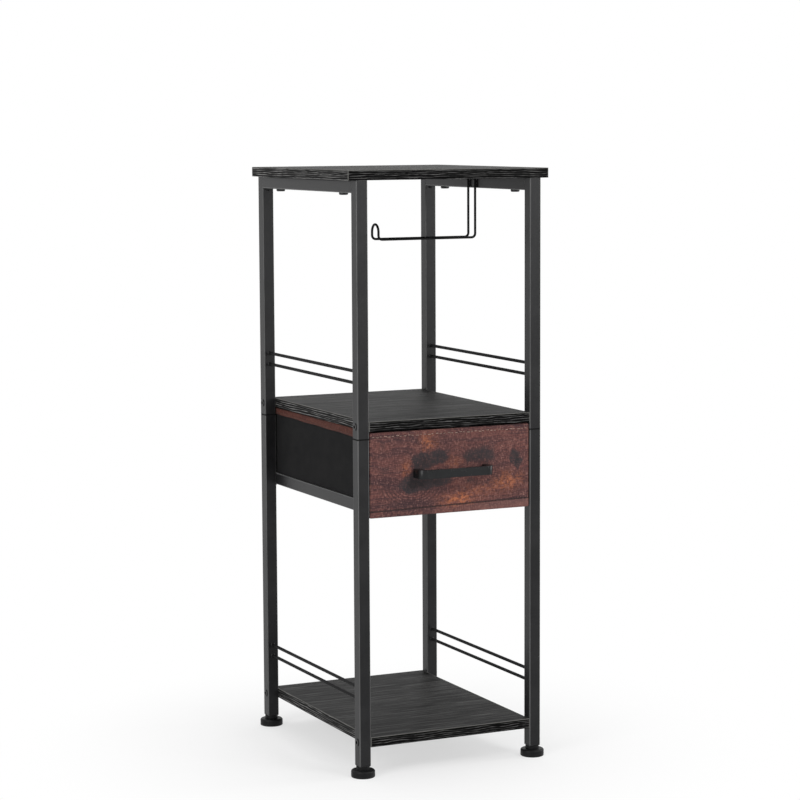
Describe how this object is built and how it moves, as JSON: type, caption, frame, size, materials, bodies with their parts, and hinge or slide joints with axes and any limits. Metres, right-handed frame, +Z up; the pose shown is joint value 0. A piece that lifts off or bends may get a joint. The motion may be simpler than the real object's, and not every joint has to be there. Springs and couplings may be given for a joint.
{
  "type": "toilet paper storage stand",
  "caption": "Narrow free-standing bathroom stand: black steel-tube frame, wood-grain shelves, fabric drawer, wire roll holder, guard rods and levelling feet.",
  "frame": {"origin": "on the floor, under the middle of the whole box, with the handle at its front and the feet at its back", "axes": "+Z up, -Y towards the front with the drawer's handle, +X to the right seen from the front"},
  "size_m": [0.265, 0.331, 0.725],
  "materials": {
    "board_laminate": "black wood-grain laminate on particle board, fine lengthwise grain",
    "frame_coat": "matt black powder coat on steel tube",
    "holder_wire": "black coat on steel wire",
    "black_fasteners": "black finish on steel",
    "foot_plastic": "black moulded plastic",
    "plug_plastic": "black moulded plastic",
    "plain_steel": "zinc-plated steel",
    "print_fabric": "red-brown rustic wood print on woven fabric",
    "black_fabric": "black nonwoven fabric over stiff card",
    "stiff_board": "plain fibre board",
    "handle_coat": "satin black coat"
  },
  "bodies": {
    "stand": {"top_board": "board_laminate", "middle_board": "board_laminate", "bottom_board": "board_laminate", "upper_leg_front_left": "frame_coat", "upper_leg_front_right": "frame_coat", "upper_leg_back_left": "frame_coat", "upper_leg_back_right": "frame_coat", "lower_leg_front_left": "frame_coat", "lower_leg_front_right": "frame_coat", "lower_leg_back_left": "frame_coat", "lower_leg_back_right": "frame_coat", "top_rail_left": "frame_coat", "top_rail_right": "frame_coat", "drawer_rail_left": "frame_coat", "drawer_rail_right": "frame_coat", "guard_rod_middle_left_low": "frame_coat", "guard_rod_middle_left_high": "frame_coat", "guard_rod_middle_right_low": "frame_coat", "guard_rod_middle_right_high": "frame_coat", "guard_rod_bottom_left_low": "frame_coat", "guard_rod_bottom_left_high": "frame_coat", "guard_rod_bottom_right_low": "frame_coat", "guard_rod_bottom_right_high": "frame_coat", "roll_holder": "holder_wire", "roll_holder_plate": "holder_wire", "board_bolts": "black_fasteners", "top_board_screws": "black_fasteners", "roll_holder_screws": "black_fasteners", "leg_end_plugs": "plug_plastic", "rail_end_plugs": "plug_plastic", "leg_joiners": "plain_steel", "board_inserts": "plain_steel"},
    "drawer": {"drawer_front_cover": "print_fabric", "drawer_front_board": "stiff_board", "drawer_side_left": "black_fabric", "drawer_side_right": "black_fabric", "drawer_back": "black_fabric", "drawer_floor": "black_fabric", "drawer_base_board": "stiff_board", "drawer_hem": "print_fabric", "drawer_handle": "handle_coat", "handle_screws": "plain_steel", "handle_washers": "plain_steel"},
    "levelling_foot_front_left": {"foot_front_left": "foot_plastic", "foot_stem_front_left": "plain_steel"},
    "levelling_foot_front_right": {"foot_front_right": "foot_plastic", "foot_stem_front_right": "plain_steel"},
    "levelling_foot_back_left": {"foot_back_left": "foot_plastic", "foot_stem_back_left": "plain_steel"},
    "levelling_foot_back_right": {"foot_back_right": "foot_plastic", "foot_stem_back_right": "plain_steel"}
  },
  "joints": [
    {"name": "drawer_slide", "type": "slide", "parent": "stand", "child": "drawer", "axis": [0, -1, 0], "range_m": [0, 0.2]},
    {"name": "foot_front_left_screw", "type": "slide", "parent": "stand", "child": "levelling_foot_front_left", "axis": [0, 0, -1], "range_m": [0, 0.008]},
    {"name": "foot_front_right_screw", "type": "slide", "parent": "stand", "child": "levelling_foot_front_right", "axis": [0, 0, -1], "range_m": [0, 0.008]},
    {"name": "foot_back_left_screw", "type": "slide", "parent": "stand", "child": "levelling_foot_back_left", "axis": [0, 0, -1], "range_m": [0, 0.008]},
    {"name": "foot_back_right_screw", "type": "slide", "parent": "stand", "child": "levelling_foot_back_right", "axis": [0, 0, -1], "range_m": [0, 0.008]}
  ]
}
